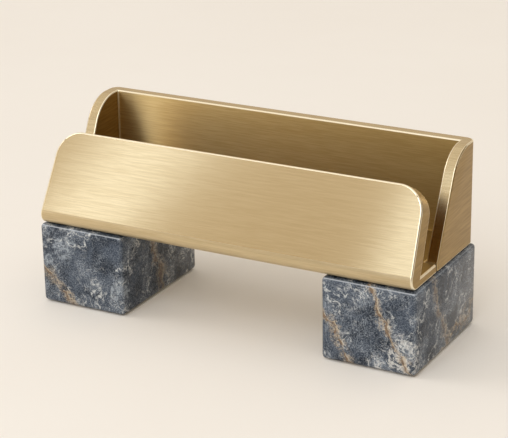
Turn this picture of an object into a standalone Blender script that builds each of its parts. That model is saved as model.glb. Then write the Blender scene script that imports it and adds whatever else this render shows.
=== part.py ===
"""Business card holder: a brass trough with a leaning front lip, bolted onto two stone feet."""

import math

import bmesh
import bpy
from mathutils import Matrix

MM = 0.001

# Overall sizes. X runs along the trough, Y from front to back, Z up from the table.
OVERALL_LENGTH = 105.0 * MM
OVERALL_DEPTH = 37.1 * MM
OVERALL_HEIGHT = 48.5 * MM
END_INSET = 0.7 * MM
GAP = 0.3 * MM

# Brass trough, its heights measured from the top of the stone
SEAM = 0.3 * MM
WALL_THICKNESS = 3.0 * MM
FLOOR_THICKNESS = 2.2 * MM
EDGE_BREAK = 0.4 * MM

# Front lip: a thick plate that leans back and turns under into the floor
LIP_DROP = 3.9 * MM
LIP_THICKNESS = 5.0 * MM
LIP_LEAN = math.radians(27.0)
LIP_CORNER_RADIUS = 6.5 * MM
LIP_SIDE_TAPER = 1.3 * MM
TOE_RADIUS = 2.6 * MM
TOE_OVERHANG = 0.6 * MM
FLANGE_DEPTH = 13.9 * MM

# End walls: their front edge starts behind the floor's flange and leans back
END_SEAM = 0.3 * MM
END_EDGE_LEAN = math.radians(25.0)
END_CORNER_RADIUS = 10.0 * MM
END_REAR_RADIUS = 1.5 * MM

# Stone feet
FOOT_WIDTH = 24.5 * MM
FOOT_TOP = 21.5 * MM
FOOT_EDGE_RADIUS = 1.0 * MM

# Pads let into the top and the underside of each foot
BEDDING_THICKNESS = 0.6 * MM
BEDDING_INSET = 4.0 * MM
BASE_PAD_THICKNESS = 1.0 * MM
BASE_PAD_INSET = 2.0 * MM
BASE_PAD_PROUD = 0.3 * MM
PAD_CORNER_RADIUS = 1.5 * MM

# Screws that hold the trough down, each up through the stone into a threaded boss
SCREW_SETBACK = 9.25 * MM
SCREW_RADIUS = 1.5 * MM
HEAD_RADIUS = 2.75 * MM
HEAD_HEIGHT = 3.0 * MM
HEAD_CHAMFER = 0.3 * MM
SOCKET_RADIUS = 1.44 * MM
SOCKET_DEPTH = 1.5 * MM
WASHER_RADIUS = 3.5 * MM
WASHER_THICKNESS = 0.5 * MM
HEAD_ROOM = 2.3 * MM
STONE_HOLE_RADIUS = 2.0 * MM
BOSS_RADIUS = 3.25 * MM
BOSS_END_WALL = 2.5 * MM
THREAD_ENGAGEMENT = 4.5 * MM
TIP_ROOM = 0.5 * MM

# How finely round shapes are divided
TURN_STEPS = 32
ARC_STEPS = 8
HEX_SIDES = 6

# One overrun serves every cut
OVERRUN = 1.0 * MM
SAME_PLACE = 0.001 * MM

# Worked-out places. In the trough Y runs from the feet's front faces.
BRASS_HALF = OVERALL_LENGTH / 2 - END_INSET
FOOT_DEPTH = OVERALL_DEPTH - TOE_OVERHANG
WALL_TOP = OVERALL_HEIGHT - FOOT_TOP
LIP_TOP = WALL_TOP - LIP_DROP
FLOOR_TOP = SEAM + FLOOR_THICKNESS
END_FRONT = FLANGE_DEPTH + END_SEAM
BACK_FACE = FOOT_DEPTH - WALL_THICKNESS
INNER_HALF = BRASS_HALF - WALL_THICKNESS - GAP

BASE_POCKET_TOP = BASE_PAD_THICKNESS + GAP
BEDDING_BOTTOM = FOOT_TOP + SEAM - GAP - BEDDING_THICKNESS
TOP_POCKET_FLOOR = BEDDING_BOTTOM - GAP
BOSS_LENGTH = THREAD_ENGAGEMENT + TIP_ROOM + BOSS_END_WALL
BOSS_TOP = FOOT_TOP + SEAM - GAP
BOSS_BOTTOM = BOSS_TOP - BOSS_LENGTH
COUNTERBORE_TOP = BASE_POCKET_TOP + HEAD_ROOM + HEAD_HEIGHT + WASHER_THICKNESS + 2 * GAP
WASHER_TOP = COUNTERBORE_TOP - GAP
HEAD_TOP = WASHER_TOP - WASHER_THICKNESS - GAP
SCREW_TIP = BOSS_BOTTOM + THREAD_ENGAGEMENT


def clear_scene():
    for item in list(bpy.data.objects):
        bpy.data.objects.remove(item, do_unlink=True)


def new_collection(name):
    collection = bpy.data.collections.new(name)
    bpy.context.scene.collection.children.link(collection)
    return collection


def finish(name, colour, roughness, metallic):
    """A plain Principled material."""
    material = bpy.data.materials.new(name)
    material.use_nodes = True
    shader = material.node_tree.nodes["Principled BSDF"]
    shader.inputs["Base Color"].default_value = (*colour, 1.0)
    shader.inputs["Roughness"].default_value = roughness
    shader.inputs["Metallic"].default_value = metallic
    material.diffuse_color = (*colour, 1.0)
    return material


def anchor(name, location):
    """An empty that carries the pieces built around it."""
    empty = bpy.data.objects.new(name, None)
    empty.location = location
    HOLDER.objects.link(empty)
    return empty


def add_piece(name, mesh, material, parent, location=(0, 0, 0)):
    """One named piece of the holder, placed from its parent."""
    piece = bpy.data.objects.new(name, mesh)
    piece.location = location
    piece.parent = parent
    if not mesh.materials:
        mesh.materials.append(material)
    HOLDER.objects.link(piece)
    return piece


def add_cutter(name, mesh, parent, location=(0, 0, 0)):
    """A shape that is only cut out of a piece."""
    cutter = bpy.data.objects.new(name, mesh)
    cutter.location = location
    cutter.parent = parent
    cutter.hide_render = True
    cutter.display_type = "WIRE"
    CUTTERS.objects.link(cutter)
    return cutter


def cut(piece, cutter):
    boolean = piece.modifiers.new("cut " + cutter.name, "BOOLEAN")
    boolean.operation = "DIFFERENCE"
    boolean.object = cutter


def break_edges(piece, width, segments=2):
    """Round every sharp edge of a piece by a small width."""
    bevel = piece.modifiers.new("edges", "BEVEL")
    bevel.width = width
    bevel.segments = segments
    bevel.limit_method = "ANGLE"
    bevel.angle_limit = math.radians(40)


def to_mesh(shape, name):
    """A mesh of a bmesh, its round faces smooth and its edges sharp."""
    mesh = bpy.data.meshes.new(name)
    shape.to_mesh(mesh)
    shape.free()
    mesh.shade_smooth()
    mesh.set_sharp_from_angle(angle=math.radians(35))
    return mesh


def block_mesh(name, size):
    """A box of the given size, centred on its origin."""
    shape = bmesh.new()
    bmesh.ops.create_cube(shape, size=1, matrix=Matrix.Diagonal((*size, 1)))
    return to_mesh(shape, name)


def rounded_block_mesh(name, size, radius):
    """A box whose upright edges are rounded."""
    shape = bmesh.new()
    bmesh.ops.create_cube(shape, size=1, matrix=Matrix.Diagonal((*size, 1)))
    upright = [edge for edge in shape.edges
               if abs(edge.verts[0].co.z - edge.verts[1].co.z) > SAME_PLACE]
    bmesh.ops.bevel(shape, geom=upright, offset=radius, segments=ARC_STEPS // 2, profile=0.5,
                    affect="EDGES")
    return to_mesh(shape, name)


def profile_mesh(name, profile, closed=False):
    """A profile of (radius, height) points that runs down its outer side, ready to be turned."""
    ends = list(zip(range(len(profile)), range(1, len(profile))))
    if closed:
        ends.append((len(profile) - 1, 0))
    mesh = bpy.data.meshes.new(name)
    mesh.from_pydata([(radius, 0, height) for radius, height in profile], ends, [])
    return mesh


def turn(shape, steps=TURN_STEPS):
    """Turn a profile about Z."""
    screw = shape.modifiers.new("turned", "SCREW")
    screw.steps = steps
    screw.render_steps = steps
    screw.use_merge_vertices = True
    screw.merge_threshold = SAME_PLACE
    screw.use_smooth_shade = True
    return shape


def arc(centre, radius, start, end):
    """Points (y, z) along an arc from one angle to another."""
    angles = [start + (end - start) * step / ARC_STEPS for step in range(ARC_STEPS + 1)]
    return [(centre[0] + radius * math.cos(angle), centre[1] + radius * math.sin(angle))
            for angle in angles]


def plate_shape(outline, thickness):
    """A bmesh of a flat outline of (y, z) points, standing across X and centred on it."""
    curve = bpy.data.curves.new("outline", "CURVE")
    curve.dimensions = "2D"
    curve.fill_mode = "BOTH"
    curve.extrude = thickness / 2
    spline = curve.splines.new("POLY")
    spline.points.add(len(outline) - 1)
    for point, (y, z) in zip(spline.points, outline):
        point.co = (y, z, 0, 1)
    spline.use_cyclic_u = True
    drawn = bpy.data.objects.new("outline", curve)
    drawn.rotation_euler = (math.pi / 2, 0, math.pi / 2)
    HOLDER.objects.link(drawn)
    bpy.context.view_layer.update()
    evaluated = drawn.evaluated_get(bpy.context.evaluated_depsgraph_get())
    flat = bpy.data.meshes.new_from_object(evaluated)
    flat.transform(drawn.matrix_world)
    shape = bmesh.new()
    shape.from_mesh(flat)
    bmesh.ops.remove_doubles(shape, verts=shape.verts, dist=SAME_PLACE)
    bmesh.ops.dissolve_limit(shape, angle_limit=math.radians(0.1), verts=shape.verts,
                             edges=shape.edges)
    bmesh.ops.recalc_face_normals(shape, faces=shape.faces)
    bpy.data.objects.remove(drawn, do_unlink=True)
    bpy.data.curves.remove(curve)
    bpy.data.meshes.remove(flat)
    return shape


def lip_outline():
    """The section through lip, toe and flange, from the flange's rear underside round the toe."""
    centre = (TOE_RADIUS - TOE_OVERHANG, SEAM + TOE_RADIUS)
    toe = arc(centre, TOE_RADIUS, -math.pi / 2, -math.pi - LIP_LEAN)
    rise = LIP_TOP - toe[-1][1]
    top_outer = (toe[-1][0] + rise * math.tan(LIP_LEAN), LIP_TOP)
    top_inner = (top_outer[0] + LIP_THICKNESS * math.cos(LIP_LEAN),
                 top_outer[1] - LIP_THICKNESS * math.sin(LIP_LEAN))
    inner_corner = (top_inner[0] - (top_inner[1] - FLOOR_TOP) * math.tan(LIP_LEAN), FLOOR_TOP)
    flange = [(FLANGE_DEPTH, FLOOR_TOP), (FLANGE_DEPTH, SEAM)]
    return toe + [top_outer, top_inner, inner_corner] + flange


def taper_lip_sides(shape):
    """Above the floor the lip grows narrower towards its top."""
    bmesh.ops.bisect_plane(shape, geom=shape.verts[:] + shape.edges[:] + shape.faces[:],
                           dist=SAME_PLACE, plane_co=(0, 0, FLOOR_TOP), plane_no=(0, 0, 1))
    for vertex in shape.verts:
        height = vertex.co.z - FLOOR_TOP
        if height > SAME_PLACE:
            narrowing = LIP_SIDE_TAPER * height / (LIP_TOP - FLOOR_TOP)
            vertex.co.x -= math.copysign(narrowing, vertex.co.x)


def round_lip_corners(shape):
    """Round the two upper corners in the plane of the lip."""
    inner_top = LIP_TOP - LIP_THICKNESS * math.sin(LIP_LEAN)
    corners = [edge for edge in shape.edges
               if min(vertex.co.z for vertex in edge.verts) > inner_top - SAME_PLACE
               and edge.verts[0].co.x * edge.verts[1].co.x > 0]
    bmesh.ops.bevel(shape, geom=corners, offset=LIP_CORNER_RADIUS, segments=ARC_STEPS,
                    profile=0.5, affect="EDGES")


def extend_floor(shape):
    """Carry the floor back between the end walls to the back wall."""
    for side in (-1, 1):
        bmesh.ops.bisect_plane(shape, geom=shape.verts[:] + shape.edges[:] + shape.faces[:],
                               dist=SAME_PLACE, plane_co=(side * INNER_HALF, 0, 0),
                               plane_no=(1, 0, 0))
    shape.faces.ensure_lookup_table()
    rear = [face for face in shape.faces
            if abs(face.calc_center_median().y - FLANGE_DEPTH) < SAME_PLACE
            and abs(face.calc_center_median().x) < INNER_HALF]
    extruded = bmesh.ops.extrude_face_region(shape, geom=rear)
    moved = [item for item in extruded["geom"] if isinstance(item, bmesh.types.BMVert)]
    bmesh.ops.delete(shape, geom=rear, context="FACES")
    reach = BACK_FACE - GAP - FLANGE_DEPTH
    bmesh.ops.translate(shape, verts=moved, vec=(0, reach, 0))
    bmesh.ops.dissolve_limit(shape, angle_limit=math.radians(0.1), verts=shape.verts,
                             edges=shape.edges)


def build_lip_and_floor():
    shape = plate_shape(lip_outline(), 2 * BRASS_HALF)
    taper_lip_sides(shape)
    round_lip_corners(shape)
    extend_floor(shape)
    bmesh.ops.recalc_face_normals(shape, faces=shape.faces)
    mesh = to_mesh(shape, "front_lip_and_floor")
    break_edges(add_piece("front_lip_and_floor", mesh, BRASS, TRAY), EDGE_BREAK)


def end_wall_outline():
    """The end wall seen from the side: a short upright toe, a leaning edge and a round corner."""
    slope = math.tan(END_EDGE_LEAN)
    spread = 1 / math.cos(END_EDGE_LEAN)
    room = BACK_FACE - END_FRONT - (WALL_TOP - FLOOR_TOP) * slope
    radius = min(END_CORNER_RADIUS, room / (spread - slope))
    centre_z = WALL_TOP - radius
    centre_y = END_FRONT + (centre_z - FLOOR_TOP) * slope + radius * spread
    corner = arc((centre_y, centre_z), radius, math.pi - END_EDGE_LEAN, math.pi / 2)
    rear = [(FOOT_DEPTH, WALL_TOP), (FOOT_DEPTH, SEAM)]
    return corner + rear + [(END_FRONT, SEAM), (END_FRONT, FLOOR_TOP)]


def end_wall_mesh(name, sign):
    """An end wall whose outer rear corner, the trough's upright corner, is rounded."""
    shape = plate_shape(end_wall_outline(), WALL_THICKNESS)
    low_rear = FOOT_DEPTH - SAME_PLACE
    upright = [edge for edge in shape.edges
               if min(vertex.co.y for vertex in edge.verts) > low_rear
               and min(sign * vertex.co.x for vertex in edge.verts) > 0]
    bmesh.ops.bevel(shape, geom=upright, offset=END_REAR_RADIUS, segments=ARC_STEPS // 2,
                    profile=0.5, affect="EDGES")
    return to_mesh(shape, name)


def build_walls():
    height = WALL_TOP - SEAM
    back = block_mesh("back_wall", (2 * INNER_HALF, WALL_THICKNESS, height))
    place = (0, BACK_FACE + WALL_THICKNESS / 2, SEAM + height / 2)
    break_edges(add_piece("back_wall", back, BRASS, TRAY, place), EDGE_BREAK)
    for side, sign in (("left", -1), ("right", 1)):
        end = end_wall_mesh(side + "_end_wall", sign)
        place = (sign * (BRASS_HALF - WALL_THICKNESS / 2), 0, 0)
        break_edges(add_piece(side + "_end_wall", end, BRASS, TRAY, place), EDGE_BREAK)


def stepped_hole_profile():
    """The hole through the stone: a bore for the boss, a screw hole and a wide counterbore."""
    boss_bore = BOSS_RADIUS + GAP
    counterbore = WASHER_RADIUS + GAP
    boss_floor = BOSS_BOTTOM - GAP
    return [(0, FOOT_TOP + OVERRUN), (boss_bore, FOOT_TOP + OVERRUN), (boss_bore, boss_floor),
            (STONE_HOLE_RADIUS, boss_floor), (STONE_HOLE_RADIUS, COUNTERBORE_TOP),
            (counterbore, COUNTERBORE_TOP), (counterbore, BASE_PAD_PROUD - OVERRUN),
            (0, BASE_PAD_PROUD - OVERRUN)]


def build_stone(side, foot):
    height = FOOT_TOP - BASE_PAD_PROUD
    mesh = block_mesh(side + "_stone_foot", (FOOT_WIDTH, FOOT_DEPTH, height))
    place = (0, 0, BASE_PAD_PROUD + height / 2)
    stone = add_piece(side + "_stone_foot", mesh, STONE, foot, place)
    break_edges(stone, FOOT_EDGE_RADIUS, segments=3)
    pockets = (("top", BEDDING_INSET, TOP_POCKET_FLOOR, FOOT_TOP + OVERRUN),
               ("base", BASE_PAD_INSET, BASE_PAD_PROUD - OVERRUN, BASE_POCKET_TOP))
    for name, inset, low, high in pockets:
        edge = inset - GAP
        size = (FOOT_WIDTH - 2 * edge, FOOT_DEPTH - 2 * edge, high - low)
        pocket = rounded_block_mesh(name, size, PAD_CORNER_RADIUS + GAP)
        place = (0, 0, (low + high) / 2)
        cut(stone, add_cutter(side + "_" + name + "_pocket", pocket, foot, place))
    hole = profile_mesh("stepped_hole", stepped_hole_profile())
    for name, y in SCREW_ROWS:
        cut(stone, turn(add_cutter(side + "_" + name + "_hole", hole, foot, (0, y, 0))))


def build_pads(side, foot):
    size = (FOOT_WIDTH - 2 * BEDDING_INSET, FOOT_DEPTH - 2 * BEDDING_INSET, BEDDING_THICKNESS)
    mesh = rounded_block_mesh(side + "_bedding_pad", size, PAD_CORNER_RADIUS)
    place = (0, 0, BEDDING_BOTTOM + BEDDING_THICKNESS / 2)
    bedding = add_piece(side + "_bedding_pad", mesh, RUBBER, foot, place)
    high = BEDDING_BOTTOM + BEDDING_THICKNESS + OVERRUN
    low = BEDDING_BOTTOM - OVERRUN
    radius = BOSS_RADIUS + GAP
    punch = profile_mesh("boss_punch", [(0, high), (radius, high), (radius, low), (0, low)])
    for name, y in SCREW_ROWS:
        cut(bedding, turn(add_cutter(side + "_" + name + "_punch", punch, foot, (0, y, 0))))
    size = (FOOT_WIDTH - 2 * BASE_PAD_INSET, FOOT_DEPTH - 2 * BASE_PAD_INSET, BASE_PAD_THICKNESS)
    mesh = rounded_block_mesh(side + "_base_pad", size, PAD_CORNER_RADIUS)
    add_piece(side + "_base_pad", mesh, RUBBER, foot, (0, 0, BASE_PAD_THICKNESS / 2))


def boss_profile():
    """A short stud with a blind threaded bore that opens downwards."""
    bore = SCREW_RADIUS + GAP
    bore_top = BOSS_TOP - BOSS_END_WALL
    return [(0, BOSS_TOP), (BOSS_RADIUS, BOSS_TOP), (BOSS_RADIUS, BOSS_BOTTOM),
            (bore, BOSS_BOTTOM), (bore, bore_top), (0, bore_top)]


def screw_profile():
    """A cap screw standing on its head."""
    head_low = HEAD_TOP - HEAD_HEIGHT
    return [(0, SCREW_TIP), (SCREW_RADIUS, SCREW_TIP), (SCREW_RADIUS, HEAD_TOP),
            (HEAD_RADIUS, HEAD_TOP), (HEAD_RADIUS, head_low + HEAD_CHAMFER),
            (HEAD_RADIUS - HEAD_CHAMFER, head_low), (0, head_low)]


def washer_profile():
    inner = SCREW_RADIUS + GAP
    low = WASHER_TOP - WASHER_THICKNESS
    return [(WASHER_RADIUS, WASHER_TOP), (WASHER_RADIUS, low), (inner, low), (inner, WASHER_TOP)]


def socket_profile():
    """The hexagonal socket in the screw's head, turned in six steps."""
    head_low = HEAD_TOP - HEAD_HEIGHT
    low = head_low - OVERRUN
    high = head_low + SOCKET_DEPTH
    return [(0, high), (SOCKET_RADIUS, high), (SOCKET_RADIUS, low), (0, low)]


def build_fasteners(side, foot):
    boss = profile_mesh("boss", boss_profile())
    screw = profile_mesh("screw", screw_profile())
    washer = profile_mesh("washer", washer_profile(), closed=True)
    socket = profile_mesh("socket", socket_profile())
    for name, y in SCREW_ROWS:
        label = side + "_" + name
        place = (0, y, 0)
        turn(add_piece(label + "_boss", boss, BRASS, foot, place))
        turn(add_piece(label + "_washer", washer, STEEL, foot, place))
        fastener = turn(add_piece(label + "_screw", screw, STEEL, foot, place))
        cut(fastener, turn(add_cutter(label + "_socket", socket, foot, place), HEX_SIDES))


clear_scene()
HOLDER = new_collection("business_card_holder")
CUTTERS = new_collection("cutters")
BRASS = finish("satin_brass", (0.72, 0.55, 0.30), 0.35, 1.0)
STONE = finish("blue_grey_marble", (0.17, 0.19, 0.23), 0.30, 0.0)
RUBBER = finish("black_rubber", (0.03, 0.03, 0.03), 0.80, 0.0)
STEEL = finish("stainless_steel", (0.62, 0.63, 0.64), 0.35, 1.0)
SCREW_ROWS = (("front", SCREW_SETBACK - FOOT_DEPTH / 2), ("rear", FOOT_DEPTH / 2 - SCREW_SETBACK))

TRAY = anchor("tray_origin", (0, TOE_OVERHANG - OVERALL_DEPTH / 2, FOOT_TOP))
build_lip_and_floor()
build_walls()
for foot_side, foot_sign in (("left", -1), ("right", 1)):
    foot_x = foot_sign * (OVERALL_LENGTH - FOOT_WIDTH) / 2
    foot_origin = anchor(foot_side + "_foot_origin", (foot_x, TOE_OVERHANG / 2, 0))
    build_stone(foot_side, foot_origin)
    build_pads(foot_side, foot_origin)
    build_fasteners(foot_side, foot_origin)
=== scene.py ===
# %% [markdown]
# # A business card holder
#
# The holder is a trough of satin brass that stands on two blocks of dark marble. It could be
# modelled here from nothing, but a CAD model of every piece is already packed, and its sizes hold.
# So this script loads that model and dresses it: the brass plates are built again with soft
# polished edges, the stone is smoothed, and every surface gets its finish.

# %% Load the frame
import math
from types import SimpleNamespace

import bmesh
import bpy
from mathutils import Matrix, Vector


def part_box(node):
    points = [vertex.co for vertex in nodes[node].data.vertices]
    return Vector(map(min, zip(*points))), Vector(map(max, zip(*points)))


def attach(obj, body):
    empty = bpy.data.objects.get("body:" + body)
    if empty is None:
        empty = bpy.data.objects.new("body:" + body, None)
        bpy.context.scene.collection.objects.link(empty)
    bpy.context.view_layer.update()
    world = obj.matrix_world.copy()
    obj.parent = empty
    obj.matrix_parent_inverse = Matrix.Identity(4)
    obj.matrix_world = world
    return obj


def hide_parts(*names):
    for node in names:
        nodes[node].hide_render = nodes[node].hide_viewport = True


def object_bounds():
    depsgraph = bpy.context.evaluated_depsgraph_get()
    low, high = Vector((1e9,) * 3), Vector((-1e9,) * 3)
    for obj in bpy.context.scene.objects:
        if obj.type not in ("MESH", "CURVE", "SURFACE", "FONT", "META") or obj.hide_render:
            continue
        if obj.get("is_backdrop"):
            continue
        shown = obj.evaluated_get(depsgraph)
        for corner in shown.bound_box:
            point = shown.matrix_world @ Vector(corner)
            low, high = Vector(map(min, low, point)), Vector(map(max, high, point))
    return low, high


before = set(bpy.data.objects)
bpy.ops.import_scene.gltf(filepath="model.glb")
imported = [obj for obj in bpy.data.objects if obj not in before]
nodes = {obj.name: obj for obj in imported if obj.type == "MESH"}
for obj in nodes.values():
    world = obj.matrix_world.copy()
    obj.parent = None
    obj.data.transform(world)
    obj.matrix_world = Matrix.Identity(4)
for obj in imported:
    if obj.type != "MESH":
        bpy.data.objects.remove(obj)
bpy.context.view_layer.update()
MM = 0.001
X_AXIS = Vector((1, 0, 0))
print("pieces in the frame:", len(nodes))

# %% [markdown]
# The camera comes first, because it decides what the viewer sees of every later choice. It could
# be aimed at the holder by a constraint, but that would keep it level. Three turns say all of it:
# about the upright axis, then down, then a roll of about a degree. A long lens keeps the far foot
# almost as large as the near one.

# %% Place the camera
CAMERA_PLACE = Vector((206.57, -372.98, 186.25)) * MM
CAMERA_TURN = math.radians(28.9406)
CAMERA_TIP = math.radians(20.6782)
CAMERA_ROLL = math.radians(-1.0233)
LENS = 128.947
SENSOR = 36.0


def add_camera():
    """Put the camera in its place, turned about Z, tipped down and then rolled."""
    data = bpy.data.cameras.new("camera")
    data.sensor_width = SENSOR
    data.lens = LENS
    camera = bpy.data.objects.new("camera", data)
    bpy.context.scene.collection.objects.link(camera)
    aim = (Matrix.Rotation(CAMERA_TURN, 4, "Z")
           @ Matrix.Rotation(math.pi / 2 - CAMERA_TIP, 4, "X")
           @ Matrix.Rotation(CAMERA_ROLL, 4, "Z"))
    camera.matrix_world = Matrix.Translation(CAMERA_PLACE) @ aim
    bpy.context.scene.camera = camera


add_camera()
bpy.context.scene.view_settings.view_transform = "Standard"
print("camera is", round(CAMERA_PLACE.length, 3), "m from the middle of the base")

# %% [markdown]
# A finish is a small network of nodes that feeds one Principled shader. It could be drawn by hand
# in the node editor, but a script gives the same network every time. A few helpers keep the
# networks short to write: each adds one kind of node, sets its values and links what feeds it.

# %% Nodes and links


def new_material(name):
    """A material with its Principled shader, ready for nodes."""
    material = bpy.data.materials.new(name)
    material.use_nodes = True
    return material, material.node_tree.nodes["Principled BSDF"]


def node(material, kind, **values):
    """Add a node. A value whose name is an input's is set on the input, else on the node."""
    made = material.node_tree.nodes.new(kind)
    for name, value in values.items():
        label = name.replace("_", " ").title()
        if label in made.inputs:
            made.inputs[label].default_value = value
        else:
            setattr(made, name, value)
    return made


def link(material, source, target):
    """Feed one node's output into another's input."""
    material.node_tree.links.new(source, target)


print("materials before the first finish:", len(bpy.data.materials))

# %% [markdown]
# Scratches and veins are patterns in the metal and the stone. They could be laid on an unwrapped
# skin, but that leaves seams. Object coordinates give each point its own place in metres instead,
# and a noise drawn on them runs through the piece like grain through wood.

# %% Patterns on coordinates
NOISE_RANGE = (0.3, 0.7)  # where nearly all values of a noise lie


def placed(material, turn=(0, 0, 0), stretch=(1, 1, 1), shift=(0, 0, 0)):
    """Object coordinates, turned and then stretched: what every pattern here is drawn on."""
    coordinates = node(material, "ShaderNodeTexCoord")
    turned = node(material, "ShaderNodeMapping", rotation=turn)
    link(material, coordinates.outputs["Object"], turned.inputs["Vector"])
    mapping = node(material, "ShaderNodeMapping", location=shift, scale=stretch)
    link(material, turned.outputs["Vector"], mapping.inputs["Vector"])
    return mapping.outputs["Vector"]


def axes_of(material, kind):
    """The X, Y and Z of one kind of coordinates.

    Object is a place, Normal a direction, and Generated, in a world, the direction of view.
    """
    coordinates = node(material, "ShaderNodeTexCoord")
    axes = node(material, "ShaderNodeSeparateXYZ")
    link(material, coordinates.outputs[kind], axes.inputs["Vector"])
    return axes.outputs


def noise(material, vector, scale, detail=2.0, roughness=0.5, distortion=0.0):
    """A cloudy value. Detail adds finer clouds, and roughness says how strong these are."""
    texture = node(material, "ShaderNodeTexNoise", scale=scale, detail=detail,
                   roughness=roughness, distortion=distortion)
    link(material, vector, texture.inputs["Vector"])
    return texture.outputs["Fac"]


print("patterns are drawn on Object coordinates, in metres")

# %% Arithmetic on patterns


def remap(material, value, low, high, to_low=0.0, to_high=1.0, smooth=True):
    """Spread a value from one range over another, clamped at both ends."""
    ranged = node(material, "ShaderNodeMapRange", from_min=low, from_max=high, to_min=to_low,
                  to_max=to_high, interpolation_type="SMOOTHSTEP" if smooth else "LINEAR")
    link(material, value, ranged.inputs["Value"])
    return ranged.outputs["Result"]


def calculate(material, operation, first, second=0.0):
    """One step of arithmetic on values, or on a value and a number."""
    step = node(material, "ShaderNodeMath", operation=operation)
    for socket, value in zip(step.inputs, (first, second)):
        if isinstance(value, (int, float)):
            socket.default_value = value
        else:
            link(material, value, socket)
    return step.outputs["Value"]


def product(material, *values):
    """Values multiplied together, so that a layer shows only where all its masks do."""
    result = values[0]
    for value in values[1:]:
        result = calculate(material, "MULTIPLY", result, value)
    return result


def largest(material, *values):
    """The largest of some values, so that layers join without adding up."""
    result = values[0]
    for value in values[1:]:
        result = calculate(material, "MAXIMUM", result, value)
    return result


print("a noise is taken to run from", NOISE_RANGE[0], "to", NOISE_RANGE[1])

# %% Colours and bumps


def mix(material, factor, first, second, blend="MIX"):
    """Mix two colours. The factor and each colour may also be another node's output."""
    mixer = node(material, "ShaderNodeMix", data_type="RGBA", blend_type=blend)
    for name, value in (("Factor_Float", factor), ("A_Color", first), ("B_Color", second)):
        socket = next(item for item in mixer.inputs if item.identifier == name)
        if isinstance(value, bpy.types.NodeSocket):
            link(material, value, socket)
        elif isinstance(value, (int, float)):
            socket.default_value = value
        else:
            socket.default_value = (*value, 1.0)
    return next(item for item in mixer.outputs if item.identifier == "Result_Color")


def add_bump(material, shader, height, strength, depth):
    """Let a value raise and sink the surface a little, in the shading alone."""
    bump = node(material, "ShaderNodeBump", strength=strength, distance=depth)
    link(material, height, bump.inputs["Height"])
    link(material, bump.outputs["Normal"], shader.inputs["Normal"])


print("one unit of Object coordinates is", round(1 / MM), "mm")

# %% [markdown]
# Satin brass is brushed with a fine belt. The scratches run one way, so reflections stay sharp
# along them and smear across them. A picture of scratches would repeat and blur close up. Here
# noise is stretched about thirty times longer than it is wide, and the shader's anisotropy smears
# the light. For that the shader has to know the direction across the scratches, which each brass
# piece carries in a UV map of its own.

# %% Brushed streaks
BRUSH_MAP = "across_the_brush"
NO_TURN = (0, 0, 0)
FINE_STREAKS = (140, 4300, 4300)
BROAD_STREAKS = (40, 1500, 1500)
FINE_SHARE = 0.75


def brushed(material, turn):
    """Fine streaks along X before the turn, and the same mixed with broader ones."""
    fine = noise(material, placed(material, turn, FINE_STREAKS), 1.0, roughness=0.6)
    broad = noise(material, placed(material, turn, BROAD_STREAKS), 1.0)
    streaks = calculate(material, "ADD", product(material, fine, FINE_SHARE),
                        product(material, broad, 1 - FINE_SHARE))
    return fine, streaks


print("a fine streak is", round(FINE_STREAKS[1] / FINE_STREAKS[0]), "times longer than wide")

# %% Painted shade that changes over a piece
SIDEWAYS_RANGE = (0.2, 0.97)
SHADE_REACH = 48.0 * MM


def painted_shade_sideways(material, tint, upward):
    """Paint shade on faces that look along X, fading to a second, lighter colour as a face turns
    away from X.
    """
    sideways = calculate(material, "ABSOLUTE", axes_of(material, "Normal")["X"])
    return mix(material, remap(material, sideways, *SIDEWAYS_RANGE, smooth=False), upward, tint)


def painted_shade_to_the_right(material, tint, shade_on_right):
    """Painted shade: multiply the colour by a darker tint, from not at all on the left to fully on
    the right.
    """
    along = remap(material, axes_of(material, "Object")["X"], -SHADE_REACH, SHADE_REACH,
                  smooth=False)
    return mix(material, along, tint, mix(material, 1.0, tint, shade_on_right, "MULTIPLY"))


print("the painted shade is spread over", round(2 * SHADE_REACH / MM), "mm of the trough")

# %% Satin brass
STREAK_RANGE = (0.36, 0.64)
ROUGH_SPREAD = 0.012
SCRATCH_STRENGTH = 0.015
SCRATCH_DEPTH = 0.01 * MM


def satin_brass(name, colour, deep, roughness, anisotropy, turn=NO_TURN, upward=None,
                shade_on_right=None):
    """Brushed brass between two colours. Its scratches run along X before the turn."""
    material, shader = new_material(name)
    fine, streaks = brushed(material, turn)
    tint = mix(material, remap(material, streaks, *STREAK_RANGE), deep, colour)
    # painted shade, on sideways faces and towards the right, where a finish asks for it
    if upward:
        tint = painted_shade_sideways(material, tint, upward)
    if shade_on_right:
        tint = painted_shade_to_the_right(material, tint, shade_on_right)
    link(material, tint, shader.inputs["Base Color"])
    rough = remap(material, streaks, *NOISE_RANGE, roughness + ROUGH_SPREAD,
                  roughness - ROUGH_SPREAD)
    link(material, rough, shader.inputs["Roughness"])
    add_bump(material, shader, fine, SCRATCH_STRENGTH, SCRATCH_DEPTH)
    tangent = node(material, "ShaderNodeTangent", direction_type="UV_MAP", uv_map=BRUSH_MAP)
    link(material, tangent.outputs["Tangent"], shader.inputs["Tangent"])
    shader.inputs["Metallic"].default_value = 1.0
    shader.inputs["Anisotropic"].default_value = anisotropy
    return material


print("roughness varies by", ROUGH_SPREAD, "either way with the streaks")
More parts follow.
